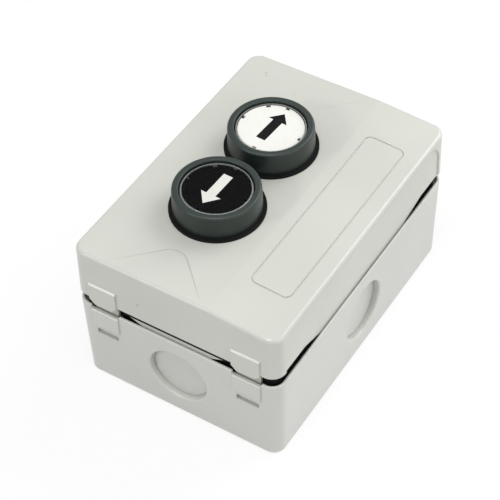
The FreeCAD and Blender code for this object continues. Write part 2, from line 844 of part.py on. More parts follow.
def make_legend_insert(label):
    """Thin disc that carries the arrow, notched for the lugs of the lens."""
    body = new_body(label)
    foot = CAP_FOOT + " + cap_plate"
    disc_radius = "(lens_radius - lens_skirt)"
    revolve(
        body,
        (
            ("0", foot),
            (disc_radius, foot),
            (disc_radius, foot + " + legend_thickness"),
            ("0", foot + " + legend_thickness"),
        ),
    )
    inner = "lens_radius - lens_skirt - lug_length - thread_gap"
    lug_blocks(body, "notch", inner, "lug_width + thread_gap * 2", foot, "legend_thickness", True)
    return body


def make_lens(label):
    """Clear cap that snaps over the legend and the plate of the plunger."""
    body = new_body(label)
    inner = "(lens_radius - lens_skirt)"
    under = CAP_FOOT + " + cap_plate + legend_thickness"
    top = under + " + lens_top"
    revolve(
        body,
        (
            ("0", under),
            (inner, under),
            (inner, CAP_FOOT),
            ("lens_radius", CAP_FOOT),
            ("lens_radius", top + " - lens_edge"),
            ("lens_radius - lens_edge", top),
            ("0", top),
        ),
    )
    start = CAP_FOOT + " + cap_plate"
    lug_blocks(
        body, "lug", "lens_radius - lens_skirt - lug_length", "lug_width", start, "legend_thickness", False
    )
    return body


def make_spring(label, side, foot, top, radius, wire, turns):
    """Compression spring between its two seats: a six-sided wire swept along a helix
    of straight chords, twelve to a turn."""
    start = amount("%s + %s" % (foot, wire))
    rise = amount("%s - (%s) - %s * 2 - thread_gap" % (top, foot, wire))
    steps = int(amount(turns)) * 12
    points = []
    for step in range(steps + 1):
        angle = 2 * math.pi * step / 12
        points.append(
            FreeCAD.Vector(
                amount("button_x") + amount(radius) * math.cos(angle),
                amount("%d * button_pitch / 2" % side) + amount(radius) * math.sin(angle),
                start + rise * step / steps,
            )
        )
    path = doc.addObject("Part::Feature", label + "_path")
    path.Shape = Part.makePolygon(points)
    section = doc.addObject("Part::RegularPolygon", label + "_wire")
    section.Polygon = 6
    section.setExpression("Circumradius", bound(wire + " / cos(30)"))
    section.Placement = FreeCAD.Placement(
        points[0], FreeCAD.Rotation(FreeCAD.Vector(1, 0, 0), 90)
    )
    spring = doc.addObject("Part::Sweep", label)
    spring.Label = label
    spring.Sections = [section]
    spring.Spine = (path, ["Edge%d" % (step + 1) for step in range(steps)])
    spring.Solid = True
    spring.Transition = "Right corner"
    return spring


def make_contact_carrier(label):
    """Collar clamped on the barrel, with the plate that the contact block hangs from."""
    body = new_body(label)
    sketch = sketch_on(body, "XY", "plate", z=BLOCK_TOP)
    rounded_rectangle(sketch, "carrier_width / 2", "carrier_depth / 2", "carrier_plate")
    pad(body, sketch, "carrier_plate")
    sketch = sketch_on(body, "XY", "collar", z=BLOCK_TOP)
    circle(sketch, "0", "0", "carrier_collar")
    pad(body, sketch, "carrier_plate + carrier_grip")
    sketch = sketch_on(body, "XY", "flange_hole", z=BLOCK_TOP)
    circle(sketch, "0", "0", "carrier_hole")
    pocket(body, sketch, "carrier_plate + carrier_grip", reverse=True)
    sketch = sketch_on(body, "XY", "barrel_seat", z=BARREL_END)
    circle(sketch, "0", "0", "barrel_radius")
    pocket(body, sketch, "carrier_grip", reverse=True)
    return body


def make_contact_block(label):
    """Moulded block: a chamber for the moving bridge and a terminal bay at each end."""
    body = new_body(label)
    half = "block_length / 2"
    front = "-(block_depth + block_cover) / 2"
    back = "(block_depth - block_cover) / 2"
    sketch = sketch_on(body, "XY", "plan", z=BLOCK_FOOT)
    rectangle(sketch, "-" + half, front, half, back)
    pad(body, sketch, "block_height")

    # Chamber, open on the side that the cover closes
    sketch = sketch_on(body, "XZ", "chamber", z="-(%s)" % back)
    rectangle(
        sketch,
        "-chamber_length / 2",
        BLOCK_FOOT + " + block_wall",
        "chamber_length / 2",
        BLOCK_TOP + " - block_wall",
    )
    pocket(body, sketch, "block_depth - block_wall", reverse=True)

    sketch = sketch_on(body, "XY", "stem_hole", z=BLOCK_TOP)
    side = "stem_side / 2 + stem_side_gap"
    rectangle(sketch, "-(%s)" % side, "-(%s)" % side, side, side)
    pocket(body, sketch, "block_wall")

    for sign in SIGNS:
        name = "right" if sign > 0 else "left"
        outer = "%d * %s" % (sign, half)
        inner = "%d * (%s - bay_length)" % (sign, half)
        left, right = (inner, outer) if sign > 0 else (outer, inner)
        sketch = sketch_on(body, "XY", name + "_bay", z=BLOCK_FOOT)
        rectangle(sketch, left, "-bay_width / 2", right, "bay_width / 2")
        pocket(body, sketch, "%s - %s" % (STRIP_FOOT, BLOCK_FOOT), reverse=True)
        sketch = sketch_on(body, "XY", name + "_strip_slot", z=STRIP_FOOT)
        rectangle(
            sketch,
            "%d * (%s)" % (sign, "strip_inner" if sign > 0 else half),
            "-strip_width / 2",
            "%d * (%s)" % (sign, half if sign > 0 else "strip_inner"),
            "strip_width / 2",
        )
        pocket(body, sketch, "strip_thickness", reverse=True)
        sketch = sketch_on(body, "XY", name + "_screw_hole", z=STRIP_TOP)
        circle(sketch, "%d * terminal_x" % sign, "0", "screw_shank_radius + slide_gap")
        pocket(body, sketch, "screw_shank_length", reverse=True)
    return body


def make_block_cover(label):
    """Flat side cover of the contact block."""
    body = new_body(label)
    sketch = sketch_on(body, "XZ", "plate", z="-(block_depth - block_cover) / 2")
    rectangle(sketch, "-block_length / 2", BLOCK_FOOT, "block_length / 2", BLOCK_TOP)
    pad(body, sketch, "block_cover", reverse=True)
    return body


def make_contact_plunger(label):
    """Square stem under the button stem, with a window that holds the bridge."""
    body = new_body(label)
    sketch = sketch_on(body, "XY", "section", z=STEM_FOOT)
    rectangle(sketch, "-stem_side / 2", "-stem_side / 2", "stem_side / 2", "stem_side / 2")
    pad(body, sketch, "%s - %s" % (STEM_END, STEM_FOOT))
    sketch = sketch_on(body, "YZ", "window")
    window_top = BRIDGE_FOOT + " + bridge_thickness"
    rectangle(sketch, "-bridge_width / 2", BRIDGE_FOOT, "bridge_width / 2", window_top)
    pocket(body, sketch, "stem_side * 2", both=True)
    return body


def make_contact_bridge(label):
    """Springy brass bar with a round contact tip under each end."""
    body = new_body(label)
    sketch = sketch_on(body, "XY", "bar", z=BRIDGE_FOOT)
    half_x, half_y = "bridge_length / 2", "bridge_width / 2"
    rectangle(sketch, "-" + half_x, "-" + half_y, half_x, half_y)
    pad(body, sketch, "bridge_thickness")
    sketch = sketch_on(body, "XY", "tips", z=BRIDGE_FOOT)
    for side in SIGNS:
        circle(sketch, "%d * tip_spacing / 2" % side, "0", "tip_radius")
    pad(body, sketch, "tip_height", reverse=True)
    return body


def box(left, front, bottom, right, back, top):
    """Solid box between two corners given as expressions."""
    low = [amount(text) for text in (left, front, bottom)]
    high = [amount(text) for text in (right, back, top)]
    return Part.makeBox(*(b - a for a, b in zip(low, high)), FreeCAD.Vector(*low))


def cylinder(x, foot, top, radius):
    """Solid cylinder along Z at (x, 0)."""
    place = FreeCAD.Vector(amount(x), 0, amount(foot))
    return Part.makeCylinder(amount(radius), amount("%s - (%s)" % (top, foot)), place)


def fixed_contact(sign):
    """Terminal strip with a contact tip at its inner end and a hole for its screw."""
    ends = ["%d * strip_inner" % sign, "%d * block_length / 2" % sign]
    left, right = ends if sign > 0 else ends[::-1]
    strip = box(left, "-strip_width / 2", STRIP_FOOT, right, "strip_width / 2", STRIP_TOP)
    tip = cylinder("%d * tip_spacing / 2" % sign, STRIP_TOP, STRIP_TOP + " + tip_height", "tip_radius")
    hole = cylinder("%d * terminal_x" % sign, STRIP_FOOT, STRIP_TOP, "screw_shank_radius + thread_gap")
    return strip.fuse(tip).cut(hole)


def terminal_clamp(sign):
    """Square washer that presses the wire against the strip."""
    x = "%d * terminal_x" % sign
    half = "clamp_side / 2"
    plate = box(
        "%s - %s" % (x, half), "-" + half, CLAMP_FOOT, "%s + %s" % (x, half), half,
        CLAMP_FOOT + " + clamp_thickness",
    )
    return plate.cut(
        cylinder(x, CLAMP_FOOT, CLAMP_FOOT + " + clamp_thickness", "screw_shank_radius + thread_gap")
    )


def terminal_screw(sign):
    """Slotted screw, driven from the wiring space, under its clamp."""
    x = "%d * terminal_x" % sign
    head_foot = CLAMP_FOOT + " - screw_head_height"
    head = cylinder(x, head_foot, CLAMP_FOOT, "screw_head_radius")
    shank = cylinder(x, CLAMP_FOOT, CLAMP_FOOT + " + screw_shank_length", "screw_shank_radius")
    reach = "screw_head_radius"
    slot = box(
        "%s - %s" % (x, reach), "-slide_gap", head_foot, "%s + %s" % (x, reach), "slide_gap",
        head_foot + " + screw_head_height / 2",
    )
    return head.fuse(shank).cut(slot)


def make_group(label, maker, sides):
    """Like solids on one or both buttons, kept as one named group."""
    solids = []
    for side in sides:
        for sign in SIGNS:
            solid = maker(sign)
            solid.translate(
                FreeCAD.Vector(amount("button_x"), amount("%d * button_pitch / 2" % side), 0)
            )
            solids.append(solid)
    group = doc.addObject("Part::Feature", label)
    group.Shape = Part.makeCompound(solids)
    group.Label = label
    return group


def make_button(prefix, side):
    """All pieces of one push button, stacked on its axis."""
    parts = [
        make_bezel(prefix + "_bezel"),
        make_bezel_seal(prefix + "_bezel_seal"),
        make_fixing_nut(prefix + "_fixing_nut"),
        make_button_cap(prefix + "_button_cap"),
        make_legend_insert(prefix + "_legend_insert"),
        make_lens(prefix + "_lens"),
        make_contact_carrier(prefix + "_contact_carrier"),
        make_contact_block(prefix + "_contact_block"),
        make_block_cover(prefix + "_block_cover"),
        make_contact_plunger(prefix + "_contact_plunger"),
        make_contact_bridge(prefix + "_contact_bridge"),
    ]
    for part in parts:
        at_button(part, side)
    parts.append(make_group(prefix + "_fixed_contacts", fixed_contact, [side]))
    parts.append(
        make_spring(
            prefix + "_return_spring", side, LEDGE_TOP, CAP_FOOT,
            "spring_radius", "spring_wire", "spring_turns",
        )
    )
    parts.append(
        make_spring(
            prefix + "_contact_spring", side, BLOCK_FOOT + " + block_wall", STEM_FOOT,
            "contact_spring_radius", "contact_spring_wire", "contact_spring_turns",
        )
    )
    return parts


nodes = [make_base_housing(), make_lid_gasket(), make_lid_cover()]
nodes += make_button("up", 1)
nodes += make_button("down", -1)
nodes.append(make_group("terminal_clamps", terminal_clamp, (1, -1)))
nodes.append(make_group("terminal_screws", terminal_screw, (1, -1)))

doc.recompute()
for item in doc.Objects:
    faults = [state for state in item.State if state in ("Invalid", "Error")]
    if faults:
        raise RuntimeError("%s is %s" % (item.Name, faults))
for node in nodes:
    if node.Shape.isNull() or not node.Shape.isValid():
        raise RuntimeError(node.Label + " has no valid shape")

os.makedirs("parts", exist_ok=True)
for node in nodes:
    node.Shape.exportStep("parts/%s.step" % node.Label)
    box_size = node.Shape.BoundBox
    print(
        "%-24s solids %d  volume %9.2f  x %7.2f %7.2f  y %7.2f %7.2f  z %6.2f %6.2f"
        % (
            node.Label, len(node.Shape.Solids), node.Shape.Volume, box_size.XMin, box_size.XMax,
            box_size.YMin, box_size.YMax, box_size.ZMin, box_size.ZMax,
        )
    )
print(len(nodes), "nodes")
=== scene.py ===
# %% [markdown]
# # Push button station, up and down
# The imported CAD model gives every solid its place and its shape, in metres. This lesson
# gives each solid the surface that such a part has, adds the printed faces and a few small
# marks, draws the springs again, and then sets up a soft studio and the camera.

# %% Load the model as the fixed frame
import math

import bpy
import numpy as np
from mathutils import Matrix, Vector


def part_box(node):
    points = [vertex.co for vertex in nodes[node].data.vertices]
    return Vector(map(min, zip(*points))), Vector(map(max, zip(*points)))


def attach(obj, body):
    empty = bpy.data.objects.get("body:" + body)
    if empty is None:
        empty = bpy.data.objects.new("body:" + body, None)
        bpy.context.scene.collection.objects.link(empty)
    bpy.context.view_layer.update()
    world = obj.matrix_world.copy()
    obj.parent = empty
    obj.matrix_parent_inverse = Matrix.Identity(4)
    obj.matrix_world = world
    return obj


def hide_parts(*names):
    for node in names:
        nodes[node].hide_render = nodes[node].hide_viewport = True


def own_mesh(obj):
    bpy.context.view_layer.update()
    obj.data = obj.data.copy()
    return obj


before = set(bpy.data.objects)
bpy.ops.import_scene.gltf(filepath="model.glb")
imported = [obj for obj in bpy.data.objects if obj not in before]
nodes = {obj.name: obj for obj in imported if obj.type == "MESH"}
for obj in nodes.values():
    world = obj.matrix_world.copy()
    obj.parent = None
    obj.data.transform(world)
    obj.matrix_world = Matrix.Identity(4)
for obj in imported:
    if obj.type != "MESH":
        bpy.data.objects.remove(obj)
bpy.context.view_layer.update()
MM = 0.001
BUTTONS = ("up", "down")
print("CAD nodes:", len(nodes))

# %% [markdown]
# ## Sizes taken from the model
# The arrows lie on the legend discs, so their places are read from the nodes and not typed
# in again.


# %% Where the legend discs are
def legend_place(which):
    """Centre of the top face of one legend disc, as (x, y, z) in metres."""
    low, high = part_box(which + "_legend_insert")
    return np.array([(low[0] + high[0]) / 2, (low[1] + high[1]) / 2, high[2]])


for which in BUTTONS:
    print(which, "legend at", np.round(legend_place(which) / MM, 2), "mm")

# %% [markdown]
# ## Colours and nodes
# Colours are written as the sRGB hex values that a paint program shows. Shader nodes work
# in linear light, so one function converts them. One more function adds a node, sets its
# values and joins its inputs, which keeps each material short enough to read.


# %% Helpers for colours and nodes
def linear(code):
    """sRGB hex to linear, opaque: c / 12.92 up to 0.04045, then ((c + 0.055) / 1.055) ** 2.4."""
    values = np.array([int(code[i : i + 2], 16) for i in (1, 3, 5)]) / 255
    light = np.where(values <= 0.04045, values / 12.92, ((values + 0.055) / 1.055) ** 2.4)
    return (*light.tolist(), 1.0)


def add_node(tree, kind, inputs=(), **settings):
    """Adds a node. Inputs are (socket, value) pairs, and a value that is a socket is linked."""
    node = tree.nodes.new(kind)
    for name, value in settings.items():
        setattr(node, name, value)
    for socket, value in inputs:
        if isinstance(value, bpy.types.NodeSocket):
            tree.links.new(value, node.inputs[socket])
        else:
            node.inputs[socket].default_value = value
    return node


def new_material(name):
    """An empty material with one Principled shader. Gives the material, tree and shader."""
    material = bpy.data.materials.new(name)
    material.use_nodes = True
    tree = material.node_tree
    tree.nodes.clear()
    shader = add_node(tree, "ShaderNodeBsdfPrincipled")
    add_node(tree, "ShaderNodeOutputMaterial", [("Surface", shader.outputs["BSDF"])])
    return material, tree, shader


def grain(tree, size, detail=2.0, roughness=0.5):
    """Noise on Object coordinates whose blotches are about `size` metres across."""
    place = add_node(tree, "ShaderNodeTexCoord").outputs["Object"]
    inputs = [("Vector", place), ("Scale", 1 / size), ("Detail", detail), ("Roughness", roughness)]
    return add_node(tree, "ShaderNodeTexNoise", inputs).outputs["Fac"]


def spread(tree, factor, low, high, colour_a, colour_b):
    """Colour ramp that runs from colour_a at `low` to colour_b at `high`."""
    ramp = add_node(tree, "ShaderNodeValToRGB", [("Fac", factor)])
    ramp.color_ramp.elements[0].position, ramp.color_ramp.elements[0].color = low, colour_a
    ramp.color_ramp.elements[1].position, ramp.color_ramp.elements[1].color = high, colour_b
    return ramp.outputs["Color"]


def dress(material, *names):
    """Gives a material to CAD nodes. Only their slots change, never their meshes."""
    for name in names:
        for slot in nodes[name].material_slots:
            slot.material = material
    print(material.name, "on", ", ".join(names))


def both(piece):
    return [which + "_" + piece for which in BUTTONS]


# %% [markdown]
# ## The box: moulded ABS in light grey
# ABS from a spark-eroded mould has a fine satin grain, taken as 0.2 mm here, so its
# highlights are broad and soft. The colour drifts very slightly, as where plastic flowed. The
# base is set a shade cooler and paler than the lid, to match the measured levels. A moulded
# edge is never knife-sharp: the Bevel node rounds it by 0.25 mm for the light only, and that
# draws the thin bright lines along the rim and the pads.


# %% Light grey ABS
ABS_IOR = 1.53  # The other moulded plastics share it
FINE_BUMP, COARSE_BUMP = 0.03 * MM, 0.05 * MM  # Depths
BEVEL_RAYS = 6
ABS_FLOW, ABS_PATCH = 45 * MM, 12 * MM  # Size of the blotches in colour and in gloss
ABS_GRAIN = 0.45 * MM  # Real grain of 0.2 mm would vanish in the picture, so it is coarser
ABS_EDGE = 0.25 * MM


def moulded_abs(name, colour_a, colour_b):
    material, tree, shader = new_material(name)
    flow = grain(tree, ABS_FLOW, 3.0, 0.55)
    shade = spread(tree, flow, 0.3, 0.7, linear(colour_a), linear(colour_b))
    tree.links.new(shade, shader.inputs["Base Color"])
    rounding = add_node(tree, "ShaderNodeBevel", [("Radius", ABS_EDGE)], samples=BEVEL_RAYS)
    bump = [
        ("Height", grain(tree, ABS_GRAIN)),
        ("Strength", 0.14),
        ("Distance", FINE_BUMP),
        ("Normal", rounding.outputs["Normal"]),
    ]
    tree.links.new(
        add_node(tree, "ShaderNodeBump", bump).outputs["Normal"], shader.inputs["Normal"]
    )
    patches = grain(tree, ABS_PATCH)
    rough = add_node(
        tree, "ShaderNodeMapRange", [("Value", patches), ("To Min", 0.26), ("To Max", 0.32)]
    )
    tree.links.new(rough.outputs["Result"], shader.inputs["Roughness"])
    shader.inputs["IOR"].default_value = ABS_IOR
    shader.inputs["Specular IOR Level"].default_value = 0.65
    return material


lid_abs = moulded_abs("abs_light_grey_lid", "#cfd0c8", "#d6d7cf")
base_abs = moulded_abs("abs_light_grey_base", "#d1d2cc", "#d8d9d3")
dress(lid_abs, "lid_cover")
dress(base_abs, "base_housing")

# %% [markdown]
# ## Satin mouldings and rubber
# The front rings are taken for polyamide with glass fibre, dark grey with a green cast, and
# satin from the mould. Their crowns are painted a little paler than their sides: a painted
# highlight for the light from above that falls on the tops. Whether that is the plastic, wear
# or the light isn't known, so the crown has a colour of its own. The hidden parts under the
# lid are satin mouldings too, in plastics that are common for them. The seal and the washers
# are drawn as black EPDM rubber, which is matt.


# %% Satin mouldings
# The crown colour is a painted highlight, for the light from above on the ring tops
CROWN_HIGHLIGHT = {"colour": "#303a37", "level": 69.5, "blend": 0.6}  # Level and blend in mm
MIX_FACTOR, MIX_A, MIX_B, MIX_RESULT = 0, 6, 7, 2  # Sockets of a Mix node for colours
SATIN_DRIFT = 6 * MM
SATIN_GRAIN = 0.35 * MM  # Coarser than the real one, which would vanish in the picture


def satin_moulding(name, colour_a, colour_b, roughness, edge, crown=None):
    """Satin moulding with edges rounded by `edge` mm for the light only. The colour runs into the
    crown's painted highlight by share = (z - level) / blend, kept between 0 and 1."""
    material, tree, shader = new_material(name)
    drift = grain(tree, SATIN_DRIFT, 3.0)
    shade = spread(tree, drift, 0.3, 0.7, linear(colour_a), linear(colour_b))
    # Painted highlight: from the crown level up, the colour turns paler
    if crown:
        place = add_node(tree, "ShaderNodeTexCoord").outputs["Object"]
        height = add_node(tree, "ShaderNodeSeparateXYZ", [("Vector", place)]).outputs["Z"]
        low, high = crown["level"] * MM, (crown["level"] + crown["blend"]) * MM
        span = [("Value", height), ("From Min", low), ("From Max", high)]
        share = add_node(tree, "ShaderNodeMapRange", span).outputs["Result"]
        mix = [(MIX_FACTOR, share), (MIX_A, shade), (MIX_B, linear(crown["colour"]))]
        shade = add_node(tree, "ShaderNodeMix", mix, data_type="RGBA").outputs[MIX_RESULT]
    tree.links.new(shade, shader.inputs["Base Color"])
    rounding = add_node(tree, "ShaderNodeBevel", [("Radius", edge * MM)], samples=BEVEL_RAYS)
    bump = [
        ("Height", grain(tree, SATIN_GRAIN)),
        ("Strength", 0.3),
        ("Distance", FINE_BUMP),
        ("Normal", rounding.outputs["Normal"]),
    ]
    tree.links.new(
        add_node(tree, "ShaderNodeBump", bump).outputs["Normal"], shader.inputs["Normal"]
    )
    shader.inputs["Roughness"].default_value = roughness
    shader.inputs["IOR"].default_value = ABS_IOR
    return material


# Name of the material, its two colours, its roughness and its rounding in mm
RING = ("polyamide_dark_green_grey", "#18221f", "#1e2926", 0.4, 0.3)
INNER = {
    "fixing_nut": ("polyamide_black_nut", "#17181a", "#1d1f20", 0.5, 0.2),
    "contact_carrier": ("polyamide_charcoal_carrier", "#2b2c2d", "#333435", 0.5, 0.2),
    "contact_block": ("pbt_ivory_block", "#c9c5b8", "#d2cec2", 0.45, 0.15),
    "block_cover": ("pbt_ivory_cover", "#c4c0b2", "#cdc9bc", 0.45, 0.1),
    "button_cap": ("acetal_grey_plunger", "#5a5c5c", "#636565", 0.4, 0.2),
    "contact_plunger": ("acetal_white_stem", "#dcdcd8", "#e4e4e0", 0.4, 0.1),
}
dress(satin_moulding(*RING, crown=CROWN_HIGHLIGHT), *both("bezel"))
for piece, look in INNER.items():
    dress(satin_moulding(*look), *both(piece))

# %% Rubber
RUBBER_DUST, RUBBER_GRAIN = 3 * MM, 0.5 * MM


def epdm_rubber():
    material, tree, shader = new_material("epdm_rubber_black")
    dust = grain(tree, RUBBER_DUST, 4.0, 0.6)
    shade = spread(tree, dust, 0.35, 0.8, linear("#070808"), linear("#0f1010"))
    tree.links.new(shade, shader.inputs["Base Color"])
    bump = [("Height", grain(tree, RUBBER_GRAIN)), ("Strength", 0.3), ("Distance", COARSE_BUMP)]
    tree.links.new(
        add_node(tree, "ShaderNodeBump", bump).outputs["Normal"], shader.inputs["Normal"]
    )
    shader.inputs["Roughness"].default_value = 0.75
    shader.inputs["Specular IOR Level"].default_value = 0.25
    return material


rubber = epdm_rubber()
dress(rubber, "lid_gasket", *both("bezel_seal"))

# %% [markdown]
# ## Legends and lenses
# Each legend is drawn as a disc of coloured polycarbonate sheet under a clear polycarbonate
# cap. The cap is thin, so it is a faint glossy film with a low alpha, and the disc below stays
# readable. Outside the disc the film is paler and denser: a painted highlight on its clear rim.


# %% Legend sheets and the clear cap
POLYCARBONATE_IOR = 1.58
SHEET_DRIFT, CAP_RIPPLE = 4 * MM, 5 * MM
CAP_CLEAR, CAP_RIM = 11.6 * MM, 12.0 * MM  # Radii between which the clear face becomes rim


def sheet_plastic(name, colour_a, colour_b, roughness, gloss=0.5):
    material, tree, shader = new_material(name)
    drift = grain(tree, SHEET_DRIFT, 3.0)
    shade = spread(tree, drift, 0.35, 0.65, linear(colour_a), linear(colour_b))
    tree.links.new(shade, shader.inputs["Base Color"])
    shader.inputs["Roughness"].default_value = roughness
    shader.inputs["IOR"].default_value = POLYCARBONATE_IOR
    shader.inputs["Specular IOR Level"].default_value = gloss
    return material


def rim_share(tree, inner, outer):
    """0 inside radius `inner` of a button's axis and 1 outside `outer`, in metres.
    The buttons stand mirrored about Y = 0, so |y| serves both:
    r = sqrt((x - x_button) ** 2 + (|y| - y_button) ** 2)."""
    centre = legend_place("up")
    place = add_node(tree, "ShaderNodeTexCoord").outputs["Object"]
    parts = add_node(tree, "ShaderNodeSeparateXYZ", [("Vector", place)])
    mirrored = add_node(tree, "ShaderNodeMath", [(0, parts.outputs["Y"])], operation="ABSOLUTE")
    flat = add_node(
        tree,
        "ShaderNodeCombineXYZ",
        [("X", parts.outputs["X"]), ("Y", mirrored.outputs[0]), ("Z", 0.0)],
    )
    axis = (float(centre[0]), float(centre[1]), 0.0)
    radius = add_node(
        tree, "ShaderNodeVectorMath", [(0, flat.outputs[0]), (1, axis)], operation="DISTANCE"
    )
    return add_node(
        tree,
        "ShaderNodeMapRange",
        [("Value", radius.outputs["Value"]), ("From Min", inner), ("From Max", outer)],
    ).outputs["Result"]


def clear_cap():
    material, tree, shader = new_material("polycarbonate_clear_cap")
    rim = rim_share(tree, CAP_CLEAR, CAP_RIM)
    # Painted highlight: the cap turns pale and denser towards its clear rim
    rim_highlight = spread(tree, rim, 0, 1, linear("#141616"), linear("#e8ece8"))
    tree.links.new(rim_highlight, shader.inputs["Base Color"])
    bump = [("Height", grain(tree, CAP_RIPPLE)), ("Strength", 0.06), ("Distance", COARSE_BUMP)]
    tree.links.new(
        add_node(tree, "ShaderNodeBump", bump).outputs["Normal"], shader.inputs["Normal"]
    )
    film = add_node(tree, "ShaderNodeMapRange", [("Value", rim), ("To Min", 0.05), ("To Max", 0.55)])
    tree.links.new(film.outputs["Result"], shader.inputs["Alpha"])
    shader.inputs["Roughness"].default_value = 0.12
    shader.inputs["IOR"].default_value = POLYCARBONATE_IOR
    return material


sheets = {
    "up": sheet_plastic("polycarbonate_white_sheet", "#fbfbf5", "#fefdf8", 0.4),
    "down": sheet_plastic("polycarbonate_black_sheet", "#0b0a0c", "#0f0e10", 0.4, 0.05),
}
for which, sheet in sheets.items():
    dress(sheet, which + "_legend_insert")
dress(clear_cap(), *both("lens"))

# %% [markdown]
# ## Metal inside the box
# Contacts and terminal strips are made as rolled brass, the screws and clamps as zinc-plated
# steel, and the springs, which come further down, as drawn steel wire. Rolling and drawing
# leave fine streaks, which show as small changes of roughness.


# %% Brass, zinc-plated steel and spring wire
METAL_DRIFT = 2 * MM


def worked_metal(name, colour_a, colour_b, rough_a, rough_b, streak):
    """Metal whose roughness changes about `streak` times per millimetre along X, Y and Z."""
    material, tree, shader = new_material(name)
    drift = grain(tree, METAL_DRIFT, 3.0)
    shade = spread(tree, drift, 0.3, 0.7, linear(colour_a), linear(colour_b))
    tree.links.new(shade, shader.inputs["Base Color"])
    place = add_node(tree, "ShaderNodeTexCoord").outputs["Object"]
    along = add_node(tree, "ShaderNodeMapping", [("Vector", place), ("Scale", streak)])
    noise = add_node(
        tree, "ShaderNodeTexNoise", [("Vector", along.outputs["Vector"]), ("Scale", 1 / MM)]
    )
    rough = add_node(
        tree,
        "ShaderNodeMapRange",
        [("Value", noise.outputs["Fac"]), ("To Min", rough_a), ("To Max", rough_b)],
    )
    tree.links.new(rough.outputs["Result"], shader.inputs["Roughness"])
    shader.inputs["Metallic"].default_value = 1.0
    return material


dress(
    worked_metal("brass_rolled", "#b8924a", "#c7a25a", 0.25, 0.4, (0.3, 6, 6)),
    *both("contact_bridge"),
    *both("fixed_contacts"),
)
dress(
    worked_metal("steel_zinc_plated", "#a9abad", "#bcbec0", 0.3, 0.45, (2, 2, 2)),
    "terminal_screws",
    "terminal_clamps",
)
spring_wire = worked_metal("spring_wire_drawn", "#8e9092", "#a2a4a6", 0.25, 0.4, (3, 3, 12))

# %% [markdown]
# ## The printed faces
# Each disc is printed: first a ground in the disc's own colour, then the arrow, a shaft and a
# triangular head cut from one outline. The ground leaves the notches free in which the lugs
# of the clear cap sit. It also lifts the print off the face where cap and disc touch, since
# two faces in one place would show streaks. In the photo the arrows sit a few degrees askew
# and a little off centre, and both are kept.


# %% Grounds and arrows worked out as outlines
NOTCHES = (0, 90, 126, 180, 270)  # Degrees round the disc
ARC_POINTS = 24


def ground_outline(radius, floor, half):
    """Circle with a square notch at each lug. The corners of a notch lie at u = floor and
    u = sqrt(radius ** 2 - half ** 2), v = -half and half, with u outwards and v along the rim."""
    rim, reach = math.sqrt(radius**2 - half**2), math.asin(half / radius)
    corners = np.array([[rim, -half], [floor, -half], [floor, half], [rim, half]])
    points = []
    for here, following in zip(NOTCHES, NOTCHES[1:] + (360,)):
        a, b = math.radians(here), math.radians(following)
        points.append(corners @ [[math.cos(a), math.sin(a)], [-math.sin(a), math.cos(a)]])
        arc = np.linspace(a + reach, b - reach, ARC_POINTS)[1:-1]
        points.append(radius * np.column_stack([np.cos(arc), np.sin(arc)]))
    return np.vstack(points)


def arrow_outline(length, shaft, head_width, head_length):
    """Seven corners, tail at -length / 2 and tip at +length / 2 along Y, counterclockwise."""
    neck = length / 2 - head_length
    half = np.array([[shaft / 2, -length / 2], [shaft / 2, neck], [head_width / 2, neck]])
    mirrored = half[::-1] * [-1, 1]
    return np.vstack([half, [[0, length / 2]], mirrored])


def film(name, outline, turn, centre, thickness, material, body):
    """A flat plate: the outline is turned, moved to its centre and raised by its thickness."""
    angle = math.radians(turn)
    spin = np.array([[math.cos(angle), math.sin(angle)], [-math.sin(angle), math.cos(angle)]])
    flat = outline @ spin * MM
    count = len(flat)
    lower = np.column_stack([flat + centre[:2], np.full(count, centre[2])])
    upper = lower + [0, 0, thickness * MM]
    ring = np.arange(count)
    following = np.roll(ring, -1)
    sides = np.column_stack([ring, following, following + count, ring + count])
    faces = [ring[::-1].tolist(), (ring + count).tolist(), *sides.tolist()]
    mesh = bpy.data.meshes.new(name)
    mesh.from_pydata(np.vstack([lower, upper]).tolist(), [], faces)
    mesh.materials.append(material)
    piece = bpy.data.objects.new(name, mesh)
    bpy.context.scene.collection.objects.link(piece)
    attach(piece, body)
    print(name, "corners", count, "centre", np.round(centre / MM, 2), "mm")
    return piece


# Sizes, shifts and thicknesses in mm, turns in degrees
GROUND = {"radius": 11.5, "floor": 10.6, "half": 0.8}
GROUND_THICKNESS, INK_THICKNESS = 0.02, 0.04
ARROWS = {
    "up": {"size": (14.7, 3.6, 7.4, 4.3), "turn": -3.5, "shift": (0.01, 1.0)},
    "down": {"size": (15.1, 3.6, 7.8, 4.7), "turn": 178.1, "shift": (-0.3, -0.12)},
}
inks = {
    "up": sheet_plastic("screen_ink_black", "#161517", "#1b1a1c", 0.5, 0.1),
    "down": sheet_plastic("screen_ink_white", "#e8eae2", "#eef0e8", 0.5, 0.3),
}
for which, arrow in ARROWS.items():
    ground = film(
        which + "_ground",
        ground_outline(**GROUND),
        0,
        legend_place(which),
        GROUND_THICKNESS,
        sheets[which],
        which + "_button",
    )
    place = legend_place(which) + np.array([*arrow["shift"], GROUND_THICKNESS]) * MM
    piece = film(
        which + "_arrow",
        arrow_outline(*arrow["size"]),
        arrow["turn"],
        place,
        INK_THICKNESS,
        inks[which],
        which + "_button",
    )
